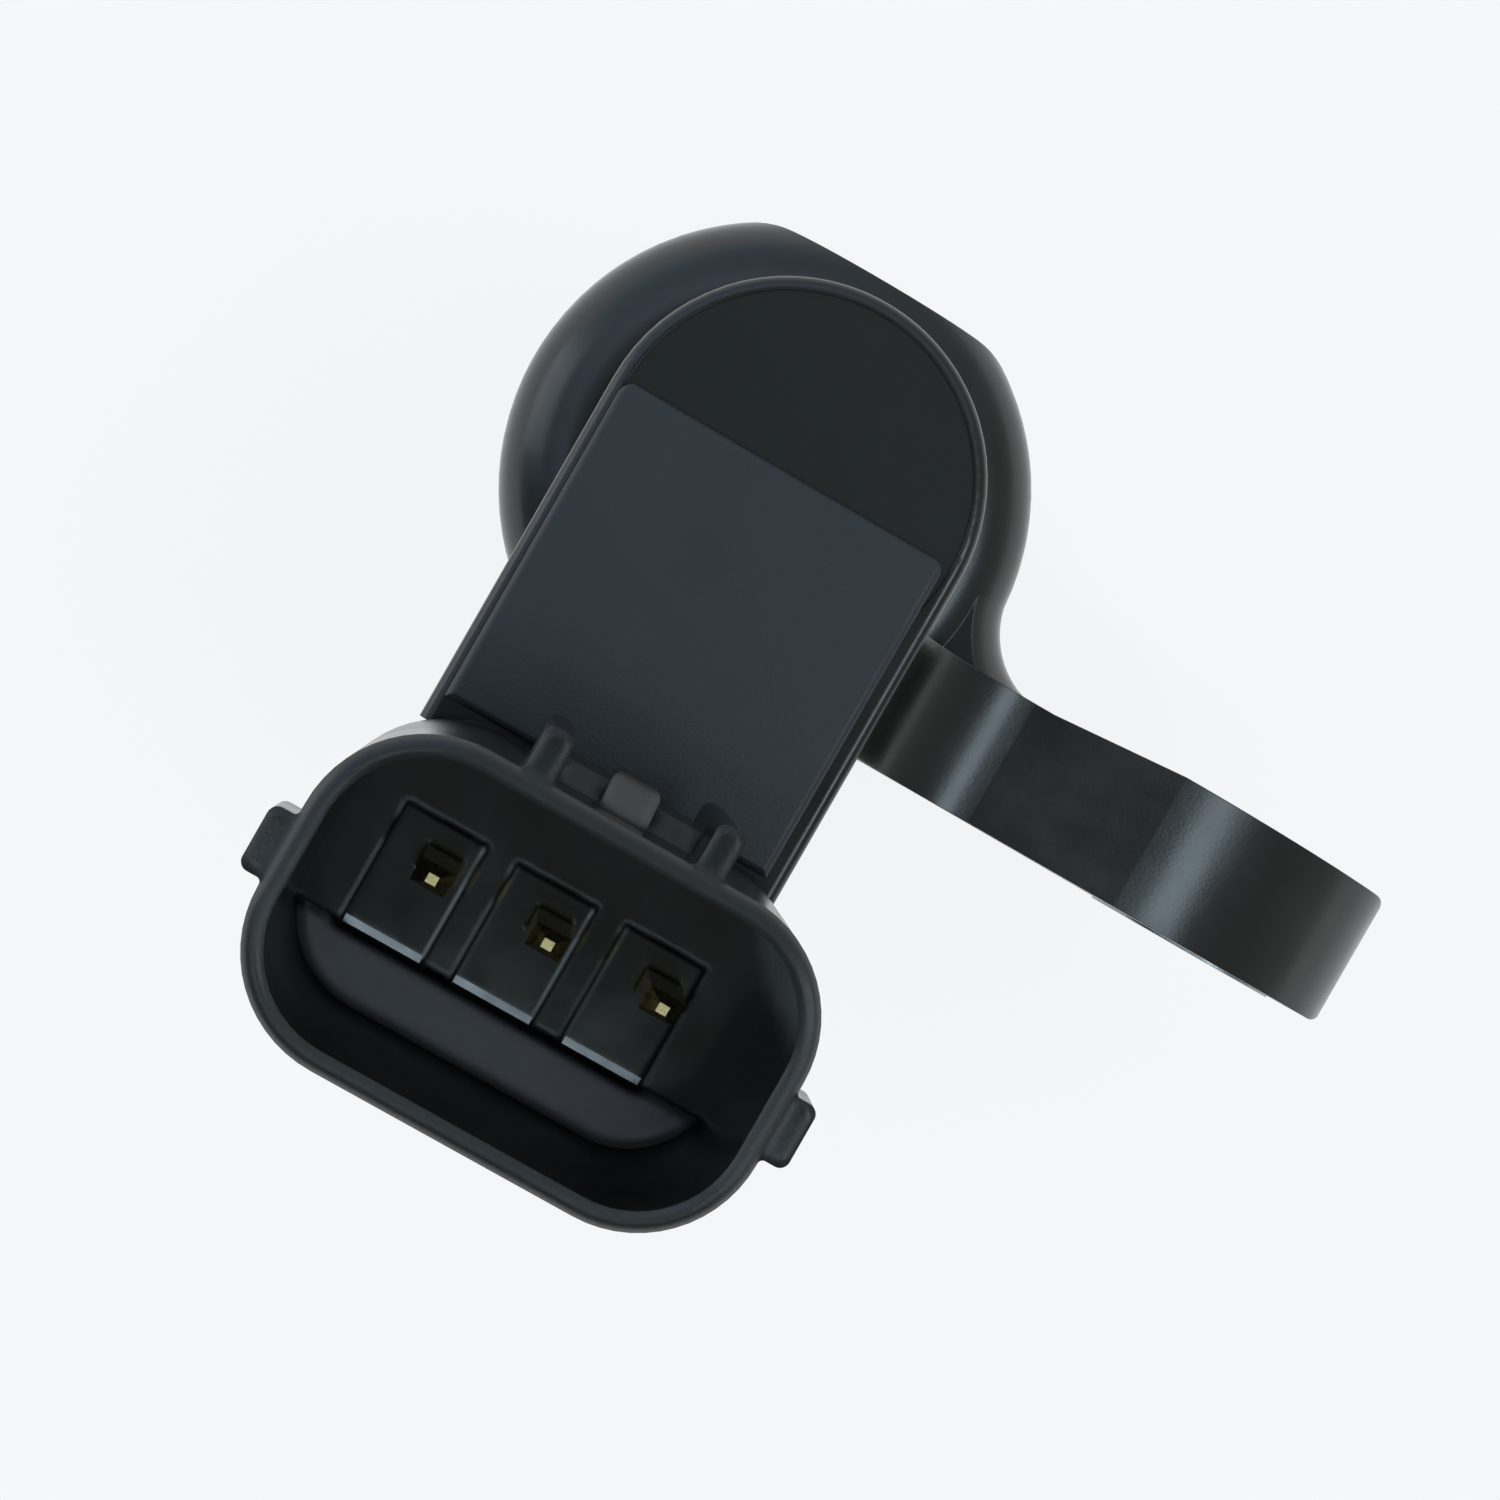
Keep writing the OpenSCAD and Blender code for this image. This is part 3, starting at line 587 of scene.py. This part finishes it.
def studio_surround(name):
    """World with its tone by height, cool on the left, dimmer on the right and in front."""
    world = bpy.data.worlds.new(name)
    world.use_nodes = True
    tree = world.node_tree
    tree.nodes.clear()
    way = add(tree, "ShaderNodeTexCoord")
    parts = add(tree, "ShaderNodeSeparateXYZ", {0: way.outputs["Generated"]})
    tilt = add(tree, "ShaderNodeMath", {0: parts.outputs["Z"]}, operation="ARCCOSINE")
    spread = add(tree, "ShaderNodeMapRange", {
        "Value": tilt.outputs[0], "From Min": 0.0, "From Max": math.pi / 2})
    tent = add(tree, "ShaderNodeValToRGB", {"Fac": spread.outputs["Result"]})
    stops = tent.color_ramp.elements
    stops[0].color = rgba(TENT[0][1])
    stops[1].color = rgba(TENT[-1][1])
    for degrees, tone in TENT[1:-1]:
        stops.new(degrees / 90).color = rgba(tone)
    side = add(tree, "ShaderNodeMapRange", {
        "Value": parts.outputs["X"], "From Min": TINT_REACH[0], "From Max": TINT_REACH[1]})
    tint = add(tree, "ShaderNodeMix", {
        0: side.outputs["Result"], 6: rgba(LEFT_TINT), 7: rgba(RIGHT_TINT)}, data_type="RGBA")
    toned = add(tree, "ShaderNodeMix", {
        0: 1.0, 6: tent.outputs["Color"], 7: tint.outputs[2]},
        data_type="RGBA", blend_type="MULTIPLY")
    front = add(tree, "ShaderNodeMapRange", {
        "Value": parts.outputs["Y"], "From Min": FRONT_REACH[0], "From Max": FRONT_REACH[1],
        "To Min": FRONT_STRENGTH[0], "To Max": FRONT_STRENGTH[1]})
    light = add(tree, "ShaderNodeBackground", {
        "Color": toned.outputs[2], "Strength": front.outputs["Result"]})
    add(tree, "ShaderNodeOutputWorld", {"Surface": light.outputs[0]})
    return world


def softbox(name, place, target, size, watts, colour):
    """A rectangular softbox that shines at the target."""
    lamp = bpy.data.lights.new(name, "AREA")
    lamp.shape = "RECTANGLE"
    lamp.size, lamp.size_y = size
    lamp.energy = watts
    lamp.color = colour
    piece = bpy.data.objects.new(name, lamp)
    piece.location = place
    piece.rotation_euler = (target - place).to_track_quat("-Z", "Y").to_euler()
    bpy.context.scene.collection.objects.link(piece)


class SENSOR_OT_stage(bpy.types.Operator):
    """Makes the floor, the studio light and the camera"""

    bl_idname = "sensor.stage"
    bl_label = "Stage"

    def execute(self, context):
        stage = context.scene.sensor_stage

        # Pale floor under the sensing face
        mesh = bmesh.new()
        bmesh.ops.create_grid(mesh, x_segments=1, y_segments=1, size=stage.floor_size / 2)
        floor = make_piece("floor", mesh, painted_board("pale_studio_floor", stage.floor_colour))
        floor.location = (0, 0, cad_box[0].z)

        context.scene.world = studio_surround("studio")

        # Low softbox on the left, and two strips beside the camera: one shines on the ear from
        # the right, one on the connector from the front
        softbox("side_light", SIDE_PLACE, SIDE_TARGET, SIDE_SIZE, stage.side_watts, SIDE_COLOUR)
        over_ear = Vector((math.sin(EAR_TILT), 0, math.cos(EAR_TILT)))
        softbox("ear_light", EAR_TARGET + stage.strip_reach * over_ear, EAR_TARGET,
                (stage.strip_length, stage.ear_strip), stage.ear_watts, STRIP_COLOUR)
        over_mouth = Vector((0, -math.sin(MOUTH_TILT), math.cos(MOUTH_TILT)))
        softbox("mouth_light", MOUTH_TARGET + stage.strip_reach * over_mouth, MOUTH_TARGET,
                (stage.strip_length, stage.mouth_strip), stage.mouth_watts, STRIP_COLOUR)

        # Camera almost straight over the sensor, turned as in the photograph
        eye = bpy.data.cameras.new("camera")
        eye.lens = stage.lens
        eye.sensor_width = FILM_WIDTH
        eye.clip_start = NEAR_CLIP
        camera = bpy.data.objects.new("camera", eye)
        camera.location = CAMERA_PLACE
        camera.rotation_euler = [math.radians(a) for a in CAMERA_TURN]
        context.scene.collection.objects.link(camera)
        context.scene.camera = camera
        context.scene.view_settings.view_transform = "Standard"
        return {"FINISHED"}


class SENSOR_PT_panel(bpy.types.Panel):
    """Steps and settings of the sensor"""

    bl_idname = "SENSOR_PT_panel"
    bl_label = "Position sensor"
    bl_space_type = "VIEW_3D"
    bl_region_type = "UI"
    bl_category = "Sensor"

    def draw(self, context):
        for group in (context.scene.sensor_look, context.scene.sensor_stage):
            for name in group.__annotations__:
                self.layout.prop(group, name)
        for step in STEPS:
            self.layout.operator(step.bl_idname)


STEPS = (SENSOR_OT_housing, SENSOR_OT_pad_lips, SENSOR_OT_pad_bed, SENSOR_OT_potting,
         SENSOR_OT_terminals, SENSOR_OT_fixings, SENSOR_OT_inside, SENSOR_OT_stage)
CLASSES = (SensorLook, SensorStage, *STEPS, SENSOR_PT_panel)


def register():
    for kind in CLASSES:
        bpy.utils.register_class(kind)
    bpy.types.Scene.sensor_look = PointerProperty(type=SensorLook)
    bpy.types.Scene.sensor_stage = PointerProperty(type=SensorStage)


def unregister():
    del bpy.types.Scene.sensor_stage
    del bpy.types.Scene.sensor_look
    for kind in reversed(CLASSES):
        bpy.utils.unregister_class(kind)


def main():
    register()
    for step in STEPS:
        getattr(bpy.ops.sensor, step.bl_idname.split(".")[1])()


if __name__ == "__main__":
    main()
